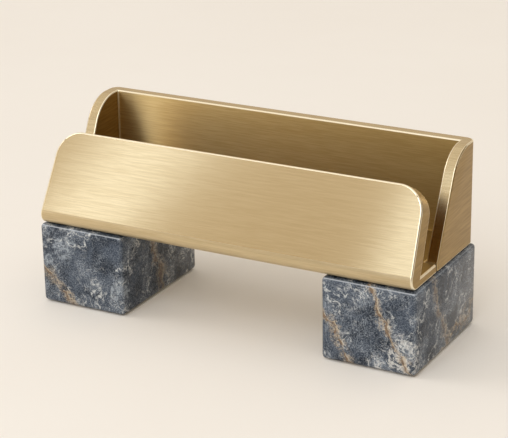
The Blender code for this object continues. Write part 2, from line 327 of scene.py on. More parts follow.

# %% [markdown]
# The belt doesn't leave every face alike: the lip's front is the smoothest, and the rolled toe and
# the sawn ends are duller. Their colours also carry painted light: the polished edges are paler
# with a painted highlight; the inside of the trough, the sawn ends, the seams and the outer faces
# of the end walls are darkened with painted shade; and the back wall gets painted shade towards
# the right. One material could hold all that behind masks, but seven small ones from the same
# recipe are easier to tune, and each face simply wears one of them. The end walls are brushed from
# front to back, two degrees off level.

# %% The brass finishes
END_BRUSH = math.radians(2)
END_TURN = (-END_BRUSH, 0, -math.pi / 2)
brass_lip = satin_brass("satin_brass_lip", (0.722, 0.587, 0.363), (0.664, 0.527, 0.311),
                        roughness=0.15, anisotropy=0.94)
brass_toe = satin_brass("satin_brass_toe", (0.67, 0.54, 0.335), (0.585, 0.467, 0.275),
                        roughness=0.30, anisotropy=0.94)
# painted shade: the inside of the trough is a darker brass, for the shade that falls there
brass_inside_shaded = satin_brass("satin_brass_in_painted_shade", (0.44, 0.31, 0.13), (0.38, 0.26, 0.10),
                           roughness=0.30, anisotropy=0.8)
brass_rim = satin_brass("satin_brass_rim", (0.67, 0.54, 0.33), (0.57, 0.45, 0.262),
                        roughness=0.25, anisotropy=0.9)
# painted shade: the back wall's inner face darkens towards the right
brass_wall_shaded_right = satin_brass("satin_wall_brass_shaded_right", (1.0, 0.80, 0.43), (0.85, 0.64, 0.305),
                         roughness=0.38, anisotropy=0.9, shade_on_right=(0.575, 0.515, 0.39))
# painted shade: sawn ends, seams and outer faces are a darker brass, lighter where they turn up or
# forward
brass_side_shaded = satin_brass("satin_brass_painted_side_shade", (0.385, 0.25, 0.085), (0.275, 0.17, 0.048),
                         roughness=0.36, anisotropy=0.6, turn=END_TURN,
                         upward=(0.62, 0.50, 0.31))
# the polished edges are a paler brass: polish, and a painted highlight
brass_edge_polish_highlight = satin_brass("satin_brass_polish_and_highlight", (0.95, 0.86, 0.66), (0.92, 0.81, 0.60),
                         roughness=0.32, anisotropy=0.3)
LIP_FINISHES = (brass_lip, brass_side_shaded, brass_edge_polish_highlight, brass_toe, brass_inside_shaded)
WALL_FINISHES = (brass_rim, brass_side_shaded, brass_edge_polish_highlight, brass_wall_shaded_right)
FACE_INDEX = 0  # the first three places mean the same in both
SIDE_INDEX = 1
EDGE_INDEX = 2
TOE_INDEX = LIP_FINISHES.index(brass_toe)
INSIDE_INDEX = LIP_FINISHES.index(brass_inside_shaded)
BACK_INDEX = WALL_FINISHES.index(brass_wall_shaded_right)
print("finishes of the lip:", [material.name for material in LIP_FINISHES])
print("finishes of the walls:", [material.name for material in WALL_FINISHES])

# %% [markdown]
# Each plate has one outline along its whole length. The outline could be typed as a list of
# points, but then a change of radius would mean new points. Instead a vertex is walked round it:
# a spin makes each round stretch, and short moves make the straight sides. The filled outline is
# then pulled along X, like metal through a die.

# %% Walk an outline
SAME_PLACE = 0.0005 * MM


def walk(shape, vertex, moves):
    """Grow edges from a vertex, one for each move (y, z), and give back the last vertex."""
    for y, z in moves:
        vertex = bmesh.ops.extrude_vert_indiv(shape, verts=[vertex])["verts"][0]
        vertex.co += Vector((0, y, z))
    return vertex


def roll(shape, vertex, centre, angle, steps):
    """Grow an arc from a vertex about an axis along X, and give back the last vertex."""
    spun = bmesh.ops.spin(shape, geom=[vertex], cent=centre, axis=X_AXIS, angle=angle,
                          steps=steps, use_duplicate=False)
    return next(item for item in spun["geom_last"] if isinstance(item, bmesh.types.BMVert))


def fill_section(shape):
    """Close the walked outline and fill it with one face."""
    bmesh.ops.remove_doubles(shape, verts=shape.verts, dist=SAME_PLACE)
    bmesh.ops.contextual_create(shape, geom=shape.edges)


print("points closer than", round(SAME_PLACE / MM, 4), "mm count as one")

# %% Pull and slice


def grow(shape, faces, vector):
    """Extrude faces, and move what is new by a vector."""
    grown = bmesh.ops.extrude_face_region(shape, geom=faces)
    moved = [item for item in grown["geom"] if isinstance(item, bmesh.types.BMVert)]
    bmesh.ops.translate(shape, verts=moved, vec=vector)


def pull(shape, faces, vector):
    """Grow faces out of a closed shape, and take away any that end up inside."""
    grow(shape, faces, vector)
    left = [face for face in faces if face.is_valid]
    if left:
        bmesh.ops.delete(shape, geom=left, context="FACES")


def slice_at(shape, point, normal, **clearing):
    """Cut edges into the shape along a plane. With clear_outer, drop what lies beyond it."""
    everything = shape.verts[:] + shape.edges[:] + shape.faces[:]
    bmesh.ops.bisect_plane(shape, geom=everything, dist=SAME_PLACE, plane_co=point,
                           plane_no=normal, **clearing)


print("a slice leaves points alone within", round(SAME_PLACE / MM, 4), "mm of its plane")

# %% [markdown]
# A real plate has no knife edges: they are rounded by a fraction of a millimetre and polished, and
# these bright lines draw the shape. They could be bevelled edge by edge in the bmesh. The Bevel
# modifier rounds every sharp edge at once, gives the new faces a finish of their own, a paler
# brass with a painted highlight, and hardens the normals, so the flat faces still look flat. Its
# result is taken as a mesh straight away, because the finishes are then chosen face by face.

# %% Polish the edges
ROUND_FACETS = math.radians(32)
EDGE_SEGMENTS = 6


def soften(shape, name, finishes, width):
    """Round the sharp edges by a width and give back a mesh with its finishes."""
    bmesh.ops.recalc_face_normals(shape, faces=shape.faces)
    mesh = bpy.data.meshes.new(name)
    shape.to_mesh(mesh)
    shape.free()
    mesh.shade_smooth()
    for material in finishes:
        mesh.materials.append(material)
    carrier = bpy.data.objects.new("carrier", mesh)
    bpy.context.scene.collection.objects.link(carrier)
    bevel = carrier.modifiers.new("edges", "BEVEL")
    bevel.material = EDGE_INDEX
    bevel.width = width
    bevel.segments = EDGE_SEGMENTS
    bevel.limit_method = "ANGLE"
    bevel.angle_limit = ROUND_FACETS
    bevel.use_clamp_overlap = False
    bevel.harden_normals = True
    bpy.context.view_layer.update()
    shaped = carrier.evaluated_get(bpy.context.evaluated_depsgraph_get())
    softened = bpy.data.meshes.new_from_object(shaped)
    bpy.data.objects.remove(carrier, do_unlink=True)
    bpy.data.meshes.remove(mesh)
    softened.name = name
    return softened


print("edges that turn by more than", round(math.degrees(ROUND_FACETS)), "degrees are rounded")

# %% [markdown]
# The lip, the floor and the walls meet at the brazed joints, so they share some sizes. These could
# be typed again here, but then the two models would drift apart. The outer sizes are read from the
# boxes of the CAD nodes, and only thicknesses and radii are named here.

# %% Sizes that the plates share
LIP_LOW, LIP_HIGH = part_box("front_lip_and_floor")
END_LOW, END_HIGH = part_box("right_end_wall")
BACK_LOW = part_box("back_wall")[0]
WALL = 3.0 * MM
FLOOR_THICKNESS = 2.2 * MM
FLOOR_TOP = LIP_LOW.z + FLOOR_THICKNESS
FLANGE_END = -4.3 * MM
LIP_EDGE = 0.42 * MM
WALL_EDGE = 0.35 * MM
SEAM_MARGIN = 0.1 * MM
print("seam between the floor and an end wall:", round((END_LOW.y - FLANGE_END) / MM, 2), "mm")

# %% [markdown]
# When the edges are rounded, each face is told which finish it wears and which way it is brushed.
# The direction could be drawn on an unwrapped map by hand. Every face here is brushed along the
# trough, apart from those at the ends, so a rule on the face's normal is enough.

# %% Lay the brushing
END_FACING = 0.8


def lay_brush_map(mesh):
    """Write a UV map whose U runs across the scratches of each face."""
    layer = mesh.uv_layers.new(name=BRUSH_MAP)
    end_along = Vector((0, math.cos(END_BRUSH), math.sin(END_BRUSH)))
    for face in mesh.polygons:
        along = end_along if abs(face.normal.x) > END_FACING else X_AXIS
        across = face.normal.cross(along).normalized()
        for loop in face.loop_indices:
            place = mesh.vertices[mesh.loops[loop].vertex_index].co
            layer.data[loop].uv = (place.dot(across), place.dot(along))


print("end walls are brushed", round(math.degrees(END_BRUSH)), "degrees off level")

# %% Dull the sawn faces and paint shade on them
SAWN_FACING = 0.22
OUTER_FACING = 0.15
FRONT_FACING = -0.1


def in_seam(face):
    """Whether a face lies in the narrow seam between the floor and an end wall's foot."""
    return (FLANGE_END - LIP_EDGE - SEAM_MARGIN < face.center.y < END_LOW.y + LIP_EDGE
            and face.center.z < FLOOR_TOP and abs(face.center.x) > END_LOW.x)


def dull_and_shade_sides(mesh, dull_and_shade_front):
    """Give the ends, the seam and, if asked, the outer front edges the finish of the sides:
    duller, and darkened with painted shade.
    """
    for face in mesh.polygons:
        outward = face.normal.x * math.copysign(1, face.center.x)
        sawn = face.material_index != EDGE_INDEX and abs(outward) > SAWN_FACING
        front = outward > OUTER_FACING and face.normal.y < FRONT_FACING
        if sawn or in_seam(face) or (dull_and_shade_front and front):
            face.material_index = SIDE_INDEX


print("faces that lean sideways by more than", SAWN_FACING, "count as sawn")

# %% Add a piece


def add_piece(name, mesh, replaced):
    """Link a finished piece, let it ride on the body and stand for its CAD node."""
    piece = bpy.data.objects.new(name, mesh)
    bpy.context.scene.collection.objects.link(piece)
    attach(piece, "root")
    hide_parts(replaced)
    return piece


def measure(mesh):
    """Print whether a mesh is closed, and how much metal it holds."""
    check = bmesh.new()
    check.from_mesh(mesh)
    opened = sum(not edge.is_manifold for edge in check.edges)
    volume = check.calc_volume(signed=True) / MM ** 3
    check.free()
    print(mesh.name, len(mesh.polygons), "faces,", opened, "open edges,", round(volume), "mm3")


def finish_brass(mesh, replaced, dull_and_shade_front):
    """Lay the finishes and the brushing on a softened mesh and add it as a piece."""
    dull_and_shade_sides(mesh, dull_and_shade_front)
    lay_brush_map(mesh)
    measure(mesh)
    add_piece(mesh.name, mesh, replaced)


# %% [markdown]
# The lip and the floor are one thick strip with a rolled toe. Two boxes joined together would
# leave a crease there, so the strip's own section is walked: round the toe, up the lip's front,
# over its top, down its inner face and along the floor.

# %% The section of the lip and floor
LIP_LEAN = math.radians(27)
LIP_THICKNESS = 5.0 * MM
TOE_RADIUS = 2.6 * MM
TOE_STEPS = 14


def lip_section(shape):
    """Walk and fill the section, at the left end of the strip."""
    centre = Vector((-LIP_HIGH.x, LIP_LOW.y + TOE_RADIUS, LIP_LOW.z + TOE_RADIUS))
    start = shape.verts.new((centre.x, centre.y, LIP_LOW.z))
    toe_end = roll(shape, start, centre, -math.pi / 2 - LIP_LEAN, TOE_STEPS)
    rise = LIP_HIGH.z - toe_end.co.z
    edge_drop = LIP_THICKNESS * math.sin(LIP_LEAN)
    inside = LIP_HIGH.z - edge_drop - FLOOR_TOP
    inner = walk(shape, toe_end, [(rise * math.tan(LIP_LEAN), rise),
                                  (LIP_THICKNESS * math.cos(LIP_LEAN), -edge_drop),
                                  (-inside * math.tan(LIP_LEAN), -inside)])
    walk(shape, inner, [(FLANGE_END - inner.co.y, 0), (0, -FLOOR_THICKNESS),
                        (start.co.y - FLANGE_END, 0)])
    fill_section(shape)


print("the toe is rolled in", TOE_STEPS, "steps")

# %% The ends of the lip and the floor behind it
LIP_SIDE_TAPER = 1.3 * MM
LIP_CORNER_RADIUS = 6.5 * MM
CORNER_STEPS = 22


def shape_lip_ends(shape):
    """Narrow the strip evenly towards its top and round its two upper corners."""
    for vertex in shape.verts:
        narrowing = LIP_SIDE_TAPER * (vertex.co.z - LIP_LOW.z) / (LIP_HIGH.z - LIP_LOW.z)
        vertex.co.x -= math.copysign(narrowing, vertex.co.x)
    top = LIP_HIGH.z - LIP_THICKNESS * math.sin(LIP_LEAN) - SAME_PLACE
    corners = [edge for edge in shape.edges
               if min(vertex.co.z for vertex in edge.verts) > top
               and edge.verts[0].co.x * edge.verts[1].co.x > 0]
    bmesh.ops.bevel(shape, geom=corners, offset=LIP_CORNER_RADIUS, segments=CORNER_STEPS,
                    profile=0.5, affect="EDGES", material=-1)
    print("corner edges of the lip rounded:", len(corners))


def extend_floor(shape):
    """Carry the floor back between the end walls to the back wall."""
    for side in (-1, 1):
        slice_at(shape, (side * END_LOW.x, 0, 0), X_AXIS)
    rear = [face for face in shape.faces
            if abs(face.calc_center_median().y - FLANGE_END) < SAME_PLACE
            and abs(face.calc_center_median().x) < END_LOW.x]
    pull(shape, rear, (0, BACK_LOW.y - FLANGE_END, 0))


print("the lip narrows by", round(LIP_SIDE_TAPER / MM, 1), "mm at each end")

# %% Build the lip and floor
FACING_BACK = 0.3
FACING_DOWN = -0.2
FACING_UP = 0.9
TOE_FACING_UP = 0.4  # the lip's front faces up more than the toe does


def choose_lip_finishes(mesh):
    """Paint shade on the faces inside the trough, and dull the rolled toe."""
    for face in mesh.polygons:
        lip_inside = face.normal.y > FACING_BACK and face.normal.z < FACING_DOWN
        floor_inside = face.normal.z > FACING_UP and face.center.z < FLOOR_TOP + SAME_PLACE
        toe = face.normal.y < -FACING_BACK and face.normal.z < TOE_FACING_UP
        if face.material_index == FACE_INDEX and (lip_inside or floor_inside):
            face.material_index = INSIDE_INDEX
        elif face.material_index == FACE_INDEX and toe:
            face.material_index = TOE_INDEX


def build_lip():
    """Section, ends, floor, polished edges and finishes, in the order of the cells above."""
    shape = bmesh.new()
    lip_section(shape)
    grow(shape, shape.faces[:], (2 * LIP_HIGH.x, 0, 0))
    shape_lip_ends(shape)
    extend_floor(shape)
    mesh = soften(shape, "lip_and_floor_brass", LIP_FINISHES, LIP_EDGE)
    choose_lip_finishes(mesh)
    finish_brass(mesh, "front_lip_and_floor", dull_and_shade_front=False)


build_lip()

# %% [markdown]
# The end walls and the back wall are plates of the same brass, brazed and polished as one, so no
# line shows where they meet. Three separate plates would each get a bright edge at the joints. So
# one shell is built: half of it is drawn, with the end wall's section split where the back wall
# meets it, and then mirrored. Slicing the finished shell at the joints gives the three plates back
# as pieces of their own.

# %% The section of an end wall
END_LEAN = math.radians(25)
END_CORNER_RADIUS = 10.0 * MM
ARC_STEPS = 24


def end_section(shape):
    """Walk and fill an end wall's outline, and split it where the back wall meets it."""
    slope = math.tan(END_LEAN)
    centre_z = END_HIGH.z - END_CORNER_RADIUS
    centre_y = (END_LOW.y + (centre_z - FLOOR_TOP) * slope
                + END_CORNER_RADIUS / math.cos(END_LEAN))
    centre = Vector((END_HIGH.x, centre_y, centre_z))
    start = shape.verts.new((END_HIGH.x, END_LOW.y, END_LOW.z))
    rise = centre_z + END_CORNER_RADIUS * math.sin(END_LEAN) - FLOOR_TOP
    edge = walk(shape, start, [(0, FLOOR_THICKNESS), (rise * slope, rise)])
    top = roll(shape, edge, centre, END_LEAN - math.pi / 2, ARC_STEPS)
    walk(shape, top, [(END_HIGH.y - top.co.y, 0), (0, END_LOW.z - END_HIGH.z),
                      (END_LOW.y - END_HIGH.y, 0)])
    fill_section(shape)
    slice_at(shape, (0, BACK_LOW.y, 0), (0, 1, 0))


print("an end wall is", round((END_HIGH.z - END_LOW.z) / MM, 2), "mm high")

# %% The shell of the walls
FACING_SIDE = 0.9
FLAT = math.radians(0.1)


def half_shell(shape):
    """An end wall with half the back wall grown from it, open at the middle."""
    end_section(shape)
    grow(shape, shape.faces[:], (-WALL, 0, 0))
    bmesh.ops.recalc_face_normals(shape, faces=shape.faces)
    inner = [face for face in shape.faces
             if abs(face.calc_center_median().x - END_LOW.x) < SAME_PLACE
             and face.calc_center_median().y > BACK_LOW.y]
    pull(shape, inner, (-END_LOW.x, 0, 0))
    middle = [face for face in shape.faces if abs(face.calc_center_median().x) < SAME_PLACE
              and abs(face.normal.x) > FACING_SIDE]
    bmesh.ops.delete(shape, geom=middle, context="FACES")


def build_shell():
    """Both halves of the shell, joined at the middle, with flat faces made whole."""
    shape = bmesh.new()
    half_shell(shape)
    bmesh.ops.mirror(shape, geom=shape.verts[:] + shape.edges[:] + shape.faces[:],
                     merge_dist=SAME_PLACE, axis="X")
    bmesh.ops.remove_doubles(shape, verts=shape.verts, dist=SAME_PLACE)
    bmesh.ops.recalc_face_normals(shape, faces=shape.faces)
    bmesh.ops.dissolve_limit(shape, angle_limit=FLAT, verts=shape.verts, edges=shape.edges)
    return shape


shell_shape = build_shell()
print("the shell has", len(shell_shape.faces), "faces before its edges are rounded")

# %% Round the rear corners and the edges
REAR_RADIUS = 2.3 * MM
REAR_STEPS = 10
BACK_FACING = -0.95


def round_rear(shape):
    """Round the two upright edges at the rear."""
    upright = [edge for edge in shape.edges
               if min(vertex.co.y for vertex in edge.verts) > END_HIGH.y - SAME_PLACE
               and abs(edge.verts[0].co.z - edge.verts[1].co.z) > WALL
               and min(abs(vertex.co.x) for vertex in edge.verts) > END_LOW.x]
    bmesh.ops.bevel(shape, geom=upright, offset=REAR_RADIUS, segments=REAR_STEPS, profile=0.5,
                    affect="EDGES", material=-1)
    print("upright rear edges rounded:", len(upright))


def choose_wall_finishes(mesh):
    """Give the back wall's inner face its own finish, with painted shade towards the right."""
    for face in mesh.polygons:
        if face.material_index == FACE_INDEX and face.normal.y < BACK_FACING:
            face.material_index = BACK_INDEX


round_rear(shell_shape)
shell = soften(shell_shape, "walls", WALL_FINISHES, WALL_EDGE)
choose_wall_finishes(shell)
print("the softened shell has", len(shell.polygons), "faces")

# %% [markdown]
# A slice would change the shading at the joints, because Blender averages a corner's normal over
# the faces that are left round it. The joints could be marked as sharp, but then a line would
# show. The shading normals are written to an attribute before the cut and set again after it, so
# the three plates shade as one shell.

# %% Keep the shading through a cut
LOST = 0.5  # a kept normal shorter than this is no normal


def keep_shading(mesh):
    """Write the shading normals to an attribute, which survives a cut."""
    layer = mesh.attributes.new("shading", "FLOAT_VECTOR", "CORNER")
    for item, corner in zip(layer.data, mesh.corner_normals):
        item.vector = corner.vector


def restore_shading(mesh):
    """Set the kept normals again. Flat caps, and corners without one, take their face's own."""
    shading = [Vector(item.vector) for item in mesh.attributes["shading"].data]
    for face in mesh.polygons:
        for loop in face.loop_indices:
            if shading[loop].length < LOST or not face.use_smooth:
                shading[loop] = face.normal.copy()
    mesh.normals_split_custom_set([vector.normalized() for vector in shading])
    mesh.attributes.remove(mesh.attributes["shading"])


keep_shading(shell)
print("shading kept at", len(shell.loops), "corners")

# %% Slice the shell into three plates
CUT_X = END_LOW.x - 0.5 * MM
FAR = 1.0  # in metres, well past both ends


def cut_out(mesh, name, low, high):
    """The part of a mesh between two X planes, closed by flat caps."""
    shape = bmesh.new()
    shape.from_mesh(mesh)
    for place, normal in ((low, -X_AXIS), (high, X_AXIS)):
        slice_at(shape, (place, 0, 0), normal, clear_outer=True)
        rim = [edge for edge in shape.edges if edge.is_boundary]
        if rim:
            for cap in bmesh.ops.contextual_create(shape, geom=rim)["faces"]:
                cap.smooth = False
    bmesh.ops.recalc_face_normals(shape, faces=shape.faces)
    piece = bpy.data.meshes.new(name)
    shape.to_mesh(piece)
    shape.free()
    for material in mesh.materials:
        piece.materials.append(material)
    restore_shading(piece)
    return piece


for name, low, high in (("left_end_wall", -FAR, -CUT_X), ("back_wall", -CUT_X, CUT_X),
                        ("right_end_wall", CUT_X, FAR)):
    finish_brass(cut_out(shell, name + "_brass", low, high), name, dull_and_shade_front=True)

# %% [markdown]
# The stone is a dark blue-grey marble. A picture of marble wrapped round the block would break at
# its arrises, while real stone runs through. So the marble is a solid pattern, built in the order
# in which the rock was: clouds of dark and lighter slate, whiter patches, a speckle of crystals, a
# web of pale healed cracks, and last the ochre veins, where iron filled the widest cracks. Its
# coordinates are in millimetres. The two numbers after the value in each remap say where a layer
# starts and where it is full, and two more, where they are given, how strong it is there.

# %% Bend and crack
PER_MM = 1 / MM
IN_MM = (PER_MM, PER_MM, PER_MM)
MIDDLE = 0.5
WARP_DETAIL = 3.0


def warped(material, vector, scale, reach):
    """Bend a pattern's coordinates by a slow noise, so that no line in it stays straight."""
    texture = node(material, "ShaderNodeTexNoise", scale=scale, detail=WARP_DETAIL)
    link(material, vector, texture.inputs["Vector"])
    centred = node(material, "ShaderNodeVectorMath", operation="SUBTRACT")
    link(material, texture.outputs["Color"], centred.inputs[0])
    centred.inputs[1].default_value = (MIDDLE, MIDDLE, MIDDLE)
    moved = node(material, "ShaderNodeVectorMath", operation="MULTIPLY_ADD")
    link(material, centred.outputs["Vector"], moved.inputs[0])
    moved.inputs[1].default_value = (reach, reach, reach)
    link(material, vector, moved.inputs[2])
    return moved.outputs["Vector"]


def distance_from(material, value, middle):
    """How far a value is from a middle value, either way."""
    return calculate(material, "ABSOLUTE", calculate(material, "SUBTRACT", value, middle))


def cracks(material, vector, scale, width, detail=4.0):
    """Thin wandering lines, where a noise crosses its middle value."""
    value = noise(material, vector, scale, detail, roughness=0.6)
    return remap(material, distance_from(material, value, MIDDLE), 0.0, width, 1.0, 0.0)


print("marble is drawn at", round(PER_MM), "units to the metre")

# %% Planes, bands and patches


def plane_distance(material, vector, normal, offset):
    """The signed distance of a warped point to a plane: a vein is drawn on it."""
    facing = node(material, "ShaderNodeVectorMath", operation="DOT_PRODUCT")
    link(material, vector, facing.inputs[0])
    facing.inputs[1].default_value = Vector(normal).normalized()
    return calculate(material, "SUBTRACT", facing.outputs["Value"], offset)


def band(material, distance, centre, half, soft):
    """1 where a distance is within half of a centre, falling to 0 over a soft margin."""
    away = distance_from(material, distance, centre)
    return remap(material, away, half, half + soft, 1.0, 0.0)


def patch(material, vector, centre, radius):
    """A soft ball of influence about a point."""
    away = node(material, "ShaderNodeVectorMath", operation="DISTANCE")
    link(material, vector, away.inputs[0])
    away.inputs[1].default_value = centre
    return remap(material, away.outputs["Value"], 0.0, radius, 1.0, 0.0)


print("veins lie on bent planes, and whiter patches about points")

# %% The raw block
CRYSTALS_PER_MM = 3.2


def quarry(name, seed):
    """A new stone: its material, its bent coordinates and the noises that its layers share.

    The seed shifts the patterns, so that the two feet are different stones.
    """
    material, shader = new_material(name)
    place = placed(material, stretch=IN_MM)
    shifted = placed(material, stretch=IN_MM, shift=seed)
    bent = warped(material, shifted, scale=0.12, reach=7.0)
    curled = warped(material, bent, scale=0.5, reach=2.4)
    density = noise(material, curled, scale=0.16, detail=5.0, roughness=0.62)
    worn = noise(material, shifted, scale=1.1, detail=3.0, roughness=0.7)
    return SimpleNamespace(
        material=material, shader=shader, seed=seed, place=place, shifted=shifted, bent=bent,
        curled=curled, density=density,
        haze=remap(material, density, 0.46, 0.66),
        crystals=noise(material, shifted, CRYSTALS_PER_MM, detail=3.0, roughness=0.85),
        worn=remap(material, worn, 0.38, 0.56))


print("a crystal is about", round(1 / CRYSTALS_PER_MM, 1), "mm across")

# %% Clouds and whiter patches
DEEP_SLATE = (0.009, 0.016, 0.030)
SLATE = (0.060, 0.079, 0.113)
GREY_BLUE = (0.17, 0.20, 0.245)
HAZE_STRENGTH = 0.7
RAGGEDNESS = 1.5
PATCH_GREY = 0.45
PATCH_WHITE = 0.8


def cloudy_slate(stone):
    """Dark slate with lighter clouds and a grey-blue haze."""
    material = stone.material
    clouds = noise(material, stone.bent, scale=0.14, detail=8.0, roughness=0.68)
    slate = mix(material, remap(material, clouds, 0.36, 0.58), DEEP_SLATE, SLATE)
    return mix(material, product(material, stone.haze, HAZE_STRENGTH), slate, GREY_BLUE)


def add_patches(stone, colour, patches, cloud):
    """Whiten the stone about some points, with edges made ragged by a swirling noise."""
    material = stone.material
    loose = warped(material, stone.place, scale=0.3, reach=3.0)
    balls = largest(material, *[patch(material, loose, centre, radius)
                                for centre, radius in patches])
    swirl = noise(material, stone.curled, scale=0.42, detail=5.0, roughness=0.66, distortion=1.6)
    tatters = product(material, calculate(material, "SUBTRACT", swirl, MIDDLE), RAGGEDNESS)
    healed = remap(material, calculate(material, "ADD", balls, tatters), 0.25, 0.75)
    colour = mix(material, product(material, healed, PATCH_GREY), colour, GREY_BLUE)
    flow = remap(material, swirl, 0.46, 0.56)
    return mix(material, product(material, healed, flow, PATCH_WHITE), colour, cloud)


print("the stone's base runs from", DEEP_SLATE, "to", GREY_BLUE)

# %% Crystals and wisps
PALE_SLATE = (0.42, 0.47, 0.53)
PIT_DEPTH = 0.74
WISP_HEIGHT = 0.3
WISP_STRENGTH = 0.32


def add_crystals(stone, colour):
    """Speckle the stone: pale glints, more of them where it is denser, and dark pits."""
    material = stone.material
    glints = remap(material, stone.crystals, 0.48, 0.66)
    thick = remap(material, stone.density, 0.34, 0.62, 0.28, 0.72)
    colour = mix(material, product(material, glints, thick), colour, PALE_SLATE)
    pits = remap(material, stone.crystals, 0.34, 0.50, PIT_DEPTH, 0.0)
    return mix(material, pits, colour, DEEP_SLATE)


def add_wisps(stone, colour):
    """Draw faint upright wisps, in some regions only."""
    material = stone.material
    upright = placed(material, stretch=(PER_MM, PER_MM, WISP_HEIGHT * PER_MM), shift=stone.seed)
    bent = warped(material, upright, scale=0.2, reach=3.0)
    lines = cracks(material, bent, scale=0.22, width=0.012)
    region = remap(material, noise(material, stone.shifted, scale=0.12), 0.44, 0.56)
    return mix(material, product(material, lines, region, WISP_STRENGTH), colour, PALE_SLATE)


print("a wisp is about", round(1 / WISP_HEIGHT, 1), "times taller than wide")

# %% Healed cracks
CHALK = (0.68, 0.70, 0.70)


def add_web(stone, colour):
    """Draw three nets of healed cracks, from coarse to fine, worn away here and there."""
    material = stone.material
    breaks = remap(material, noise(material, stone.shifted, scale=0.17, detail=3.0), 0.43, 0.58)
    dense = remap(material, stone.density, 0.42, 0.58)
    coarse = cracks(material, stone.curled, scale=0.13, width=0.024, detail=2.0)
    fine = cracks(material, stone.curled, scale=0.31, width=0.034, detail=2.0)
    hazy = cracks(material, stone.bent, scale=0.21, width=0.018, detail=3.0)
    nets = largest(material, product(material, coarse, breaks),
                   product(material, fine, breaks, dense), product(material, hazy, stone.haze))
    grainy = remap(material, stone.crystals, 0.3, 0.6, 0.5, 1.0)
    web = product(material, nets, stone.worn, grainy)
    return mix(material, web, colour, CHALK)


print("healed cracks are drawn in", CHALK)

# %% Ochre veins
BROWN = (0.21, 0.133, 0.074)
CREAM = (0.58, 0.48, 0.35)
LINE_STRENGTH = 0.7


def vein_course(stone):
    """What the veins of a stone share: wavy coordinates, their swelling and their breaks."""
    material = stone.material
    slow = warped(material, stone.place, scale=0.16, reach=5.5)
    swelling = noise(material, stone.shifted, scale=0.28)
    breaking = noise(material, stone.shifted, scale=0.5, detail=3.0)
    return SimpleNamespace(
        wavy=warped(material, slow, scale=0.8, reach=1.5),
        swell=remap(material, swelling, 0.35, 0.65, 0.35, 1.7),
        broken=remap(material, breaking, 0.38, 0.52, 0.2, 1.0))


def add_vein(stone, course, colour, normal, offset, width, strength):
    """Draw a vein: a crumbling cream fringe, a brown core and a thin cream line beside it."""
    material = stone.material
    away = plane_distance(material, course.wavy, normal, offset)
    away = calculate(material, "DIVIDE", away, course.swell)
    fringe = product(material, band(material, away, 0.0, 1.5 * width, 3.0 * width), stone.worn,
                     remap(material, stone.crystals, 0.38, 0.62, 0.1, 0.75), strength)
    colour = mix(material, fringe, colour, CREAM)
    core = product(material, band(material, away, 0.0, 0.5 * width, 0.45 * width),
                   course.broken, remap(material, stone.crystals, 0.25, 0.5, 0.35, 0.85),
                   strength)
    colour = mix(material, core, colour, BROWN)
    line = product(material, band(material, away, 1.1 * width, 0.15 * width, 0.4 * width),
                   course.broken, LINE_STRENGTH * strength)
    return mix(material, line, colour, CREAM)


print("veins are drawn in", BROWN, "with", CREAM, "beside them")

# %% Honed arrises, with painted highlight and shadow
HONED_HIGHLIGHT = (0.66, 0.72, 0.80)
ARRIS_RANGE = (0.73, 0.86)
SIDE_RANGE = (0.35, 0.6)
SIDE_SHARE = 0.3
POLISH = (0.18, 0.28)
STONE_SPECULAR = 0.25


def arris(material, low, high, at_low, at_high):
    """A mask of the rounded edges, which goes from one value to another as they face upwards: it
    places the painted highlight and the painted contact shadow.
    """
    axes = axes_of(material, "Normal")
    flat = largest(material, *[calculate(material, "ABSOLUTE", axes[axis]) for axis in "XYZ"])
    upward = remap(material, axes["Z"], low, high, at_low, at_high)
    sideways = calculate(material, "ABSOLUTE", axes["X"])
    return product(material, remap(material, flat, *ARRIS_RANGE, 1.0, 0.0), upward,
                   remap(material, sideways, *SIDE_RANGE, 1.0, SIDE_SHARE))


def polish_stone(stone, colour):
    """Pale the upper arrises, as honed stone and with a painted highlight, darken the lower ones
    with a painted contact shadow, and polish the rest.
    """
    material = stone.material
    # upper arrises: paler as honed stone, and a painted highlight, strongest on top
    honed_and_highlit = arris(material, low=0.2, high=0.5, at_low=0.16, at_high=0.62)
    # painted contact shadow: the lower arrises are darkened towards deep slate
    foot = arris(material, low=-0.5, high=-0.2, at_low=0.8, at_high=0.0)
    colour = mix(material, foot, mix(material, honed_and_highlit, colour, HONED_HIGHLIGHT), DEEP_SLATE)
    link(material, colour, stone.shader.inputs["Base Color"])
    polish = remap(material, stone.crystals, *NOISE_RANGE, *POLISH)
    link(material, largest(material, polish, honed_and_highlit, foot), stone.shader.inputs["Roughness"])
    stone.shader.inputs["Specular IOR Level"].default_value = STONE_SPECULAR
    return material


print("polished stone has a roughness of", POLISH[0], "to", POLISH[1])

# %% The marble of each foot


def marble(name, seed, veins, patches, cloud):
    """Marble. Veins are (normal, offset, width, strength) in mm; patches are (centre, radius)."""
    stone = quarry(name, seed)
    colour = cloudy_slate(stone)
    colour = add_patches(stone, colour, patches, cloud)
    colour = add_crystals(stone, colour)
    colour = add_wisps(stone, colour)
    colour = add_web(stone, colour)
    course = vein_course(stone)
    for vein in veins:
        colour = add_vein(stone, course, colour, *vein)
    return polish_stone(stone, colour)


